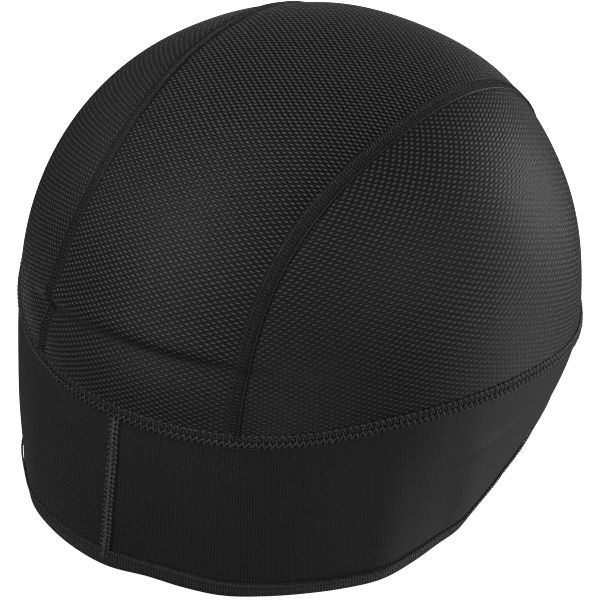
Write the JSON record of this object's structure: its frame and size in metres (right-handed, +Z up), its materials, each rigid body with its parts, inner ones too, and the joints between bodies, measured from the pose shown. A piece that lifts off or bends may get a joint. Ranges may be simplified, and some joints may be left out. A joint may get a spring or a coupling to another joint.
{
  "type": "helmet liner cap",
  "caption": "Thin close-fitting cap for wearing under a helmet: mesh crown in panels with flat seams, on a jersey headband with a folded hem.",
  "frame": {"origin": "centre of the bounding box in plan, on the flat underside of the hem", "axes": "+Z up to the top of the head, -Y to the wearer's front, +X to the wearer's left"},
  "size_m": [0.1826, 0.1949, 0.1385],
  "materials": {
    "mesh_cloth": "black stretch mesh with small oval holes in staggered rows, soft sheen",
    "jersey": "black knitted jersey with fine upright wales, matt",
    "seam_thread": "black overlock and flatlock stitching in textured thread"
  },
  "bodies": {
    "root": {"crown_center_panel": "mesh_cloth", "crown_side_left": "mesh_cloth", "crown_side_right": "mesh_cloth", "seam_crown_left": "seam_thread", "seam_crown_right": "seam_thread", "seam_crown_band": "seam_thread", "headband": "jersey", "seam_back": "seam_thread", "hem": "jersey"}
  },
  "joints": []
}
